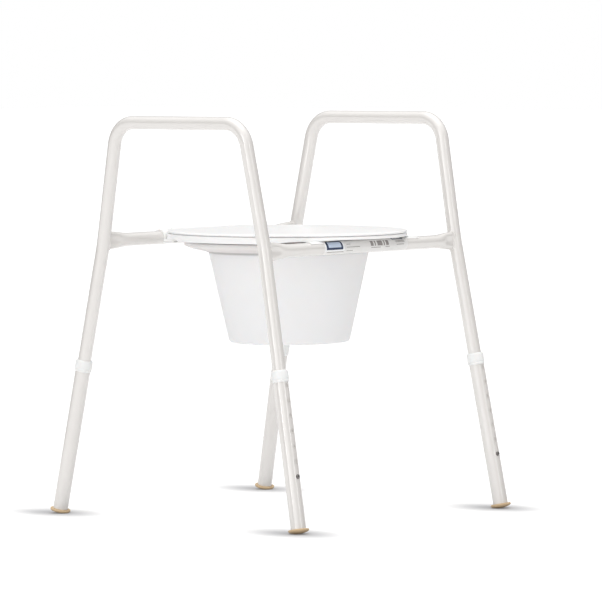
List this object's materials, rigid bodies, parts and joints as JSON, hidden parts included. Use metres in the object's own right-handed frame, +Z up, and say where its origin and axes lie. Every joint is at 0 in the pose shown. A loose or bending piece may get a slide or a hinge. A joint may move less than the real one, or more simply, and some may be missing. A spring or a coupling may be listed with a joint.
{
  "type": "commode chair",
  "caption": "Free-standing commode chair: two bent tube side frames with arm bars, height-adjustable legs, hinged seat and lid, and a pan that slides out sideways.",
  "frame": {"origin": "on the floor, at the middle of the box that holds the four feet", "axes": "+X to the sitter's left, +Y to the rear where the seat is hinged, +Z up"},
  "size_m": [0.5538, 0.5848, 0.6796],
  "materials": {
    "frame_paint": "warm off-white powder coat, smooth, medium gloss",
    "seat_plastic": "cool white moulded plastic, satin gloss",
    "clip_plastic": "white moulded plastic",
    "pan_plastic": "pale grey-white polypropylene, fine matt",
    "collar_plastic": "white moulded nylon",
    "tip_rubber": "tan gum rubber, matt",
    "button_steel": "polished",
    "spring_steel": "bright spring steel",
    "label_film": "printed film, plain bars only",
    "buffer_rubber": "soft white"
  },
  "bodies": {
    "frame": {"side_frame_left": "frame_paint", "side_frame_right": "frame_paint", "front_rail": "frame_paint", "rear_rail": "frame_paint", "rail_label": "label_film", "button_spring_front_left": "spring_steel", "button_spring_front_right": "spring_steel", "button_spring_rear_left": "spring_steel", "button_spring_rear_right": "spring_steel"},
    "leg_front_left": {"leg_sleeve_front_left": "frame_paint", "leg_collar_front_left": "collar_plastic", "foot_tip_front_left": "tip_rubber"},
    "leg_front_right": {"leg_sleeve_front_right": "frame_paint", "leg_collar_front_right": "collar_plastic", "foot_tip_front_right": "tip_rubber"},
    "leg_rear_left": {"leg_sleeve_rear_left": "frame_paint", "leg_collar_rear_left": "collar_plastic", "foot_tip_rear_left": "tip_rubber"},
    "leg_rear_right": {"leg_sleeve_rear_right": "frame_paint", "leg_collar_rear_right": "collar_plastic", "foot_tip_rear_right": "tip_rubber"},
    "button_front_left": {"snap_button_front_left": "button_steel"},
    "button_front_right": {"snap_button_front_right": "button_steel"},
    "button_rear_left": {"snap_button_rear_left": "button_steel"},
    "button_rear_right": {"snap_button_rear_right": "button_steel"},
    "seat": {"seat_ring": "seat_plastic", "seat_clip_left": "clip_plastic", "seat_clip_right": "clip_plastic", "seat_saddle_left": "clip_plastic", "seat_saddle_right": "clip_plastic", "pan_guide_front": "clip_plastic", "pan_guide_rear": "clip_plastic", "seat_screws": "spring_steel"},
    "lid": {"lid": "seat_plastic", "lid_buffers": "buffer_rubber"},
    "pan": {"pan": "pan_plastic"}
  },
  "joints": [
    {"name": "leg_front_left_extend", "type": "slide", "parent": "frame", "child": "leg_front_left", "axis": [0.036, -0.184, -0.9823], "range_m": [0, 0.15]},
    {"name": "leg_front_right_extend", "type": "slide", "parent": "frame", "child": "leg_front_right", "axis": [-0.036, -0.184, -0.9823], "range_m": [0, 0.15]},
    {"name": "leg_rear_left_extend", "type": "slide", "parent": "frame", "child": "leg_rear_left", "axis": [0.0359, 0.2011, -0.9789], "range_m": [0, 0.15]},
    {"name": "leg_rear_right_extend", "type": "slide", "parent": "frame", "child": "leg_rear_right", "axis": [-0.0359, 0.2011, -0.9789], "range_m": [0, 0.15]},
    {"name": "button_front_left_press", "type": "slide", "parent": "frame", "child": "button_front_left", "axis": [0.0067, 0.9829, -0.1838], "range_m": [0, 0.0045], "stiffness_N_per_m": 1500, "springref_m": -0.002, "deforming": ["button_spring_front_left"]},
    {"name": "button_front_right_press", "type": "slide", "parent": "frame", "child": "button_front_right", "axis": [-0.0067, 0.9829, -0.1838], "range_m": [0, 0.0045], "stiffness_N_per_m": 1500, "springref_m": -0.002, "deforming": ["button_spring_front_right"]},
    {"name": "button_rear_left_press", "type": "slide", "parent": "frame", "child": "button_rear_left", "axis": [0.0074, -0.9796, -0.2009], "range_m": [0, 0.0045], "stiffness_N_per_m": 1500, "springref_m": -0.002, "deforming": ["button_spring_rear_left"]},
    {"name": "button_rear_right_press", "type": "slide", "parent": "frame", "child": "button_rear_right", "axis": [-0.0074, -0.9796, -0.2009], "range_m": [0, 0.0045], "stiffness_N_per_m": 1500, "springref_m": -0.002, "deforming": ["button_spring_rear_right"]},
    {"name": "seat_hinge", "type": "hinge", "parent": "frame", "child": "seat", "pos_m": [0, 0.17939, 0.468], "axis": [-1, 0, 0], "range_deg": [0, 95]},
    {"name": "lid_hinge", "type": "hinge", "parent": "seat", "child": "lid", "pos_m": [0, 0.17939, 0.468], "axis": [-1, 0, 0], "range_deg": [0, 105]},
    {"name": "pan_slide", "type": "slide", "parent": "seat", "child": "pan", "axis": [1, 0, 0], "range_m": [-0.45, 0.45]}
  ]
}
